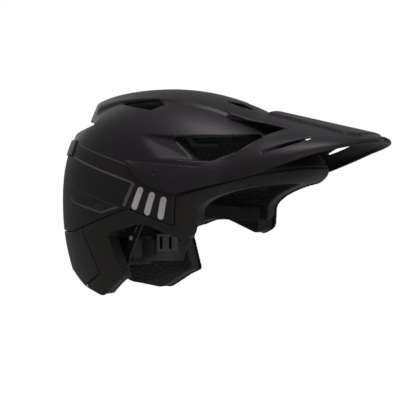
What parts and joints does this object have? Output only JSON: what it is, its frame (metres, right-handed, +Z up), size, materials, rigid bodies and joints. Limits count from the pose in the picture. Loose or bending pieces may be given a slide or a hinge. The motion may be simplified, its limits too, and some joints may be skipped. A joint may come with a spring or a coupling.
{
  "type": "mountain bike helmet",
  "caption": "Open-face trail helmet with deep rear lobes, a tilting visor, a foam and slip liner, a dial fit system and tucked straps.",
  "frame": {"origin": "centre of the wearer's head, the middle of the head cavity at the height of the visor pivots less 37 mm", "axes": "+X to the front along the visor, +Y to the wearer's left, +Z up to the crown"},
  "size_m": [0.35, 0.225, 0.213],
  "materials": {
    "shell_plum_black": "satin",
    "shell_side": "satin",
    "foam": "matte",
    "slip_film": "satin",
    "pad_fabric": "matte",
    "fit_plastic": "satin",
    "reflector": "gloss",
    "pale_plastic": "satin",
    "webbing": "matte",
    "metal": "satin",
    "brass": "satin",
    "rubber": "matte"
  },
  "bodies": {
    "helmet": {"upper_shell": "shell_plum_black", "rim_shell": "shell_side", "nape_shell": "shell_side", "eps_liner": "foam", "slip_liner": "slip_film", "slip_anchors": "pale_plastic", "rear_reflector": "reflector", "brow_pad": "pad_fabric", "crown_pad": "pad_fabric", "side_pad_right": "pad_fabric", "side_pad_left": "pad_fabric", "cradle_pad": "pad_fabric", "cradle": "fit_plastic", "height_strip": "fit_plastic", "height_pin": "pale_plastic", "dial_housing": "fit_plastic", "belt_guides": "fit_plastic", "visor_bushes": "brass", "visor_pins": "metal", "pin_washers": "rubber", "front_strap_right": "webbing", "front_strap_left": "webbing", "rear_strap_right": "webbing", "rear_strap_left": "webbing", "chin_strap_right": "webbing", "chin_strap_left": "webbing", "strap_anchors": "fit_plastic", "divider_right": "fit_plastic", "divider_left": "fit_plastic", "buckle_socket": "fit_plastic", "buckle_plug": "fit_plastic", "strap_keeper": "rubber", "chin_pad": "pad_fabric"},
    "visor_tilt_body": {"visor": "shell_plum_black"},
    "dial": {"dial_knob": "rubber", "dial_pinion": "pale_plastic"},
    "belt_right": {"fit_belt_right": "fit_plastic", "belt_rivet_right": "metal"},
    "belt_left": {"fit_belt_left": "fit_plastic", "belt_rivet_left": "metal"}
  },
  "joints": [
    {"name": "visor_tilt", "type": "hinge", "parent": "helmet", "child": "visor_tilt_body", "pos_m": [0.005, 0, 0.037], "axis": [0, -1, 0], "range_deg": [0, 12]},
    {"name": "dial_turn", "type": "hinge", "parent": "helmet", "child": "dial", "pos_m": [-0.0974, 0, -0.05], "axis": [-1, 0, 0], "range_deg": [0, 160]},
    {"name": "belt_right_slide", "type": "hinge", "parent": "helmet", "child": "belt_right", "pos_m": [-0.026, 0, -0.05], "axis": [0, 0, -1], "range_deg": [0, 8.4]},
    {"name": "belt_left_slide", "type": "hinge", "parent": "helmet", "child": "belt_left", "pos_m": [-0.026, 0, -0.05], "axis": [0, 0, 1], "range_deg": [0, 8.4]}
  ],
  "couplings": [
    {"joint": "belt_right_slide", "follows": "dial_turn", "ratio": 0.052474},
    {"joint": "belt_left_slide", "follows": "dial_turn", "ratio": 0.052474}
  ]
}
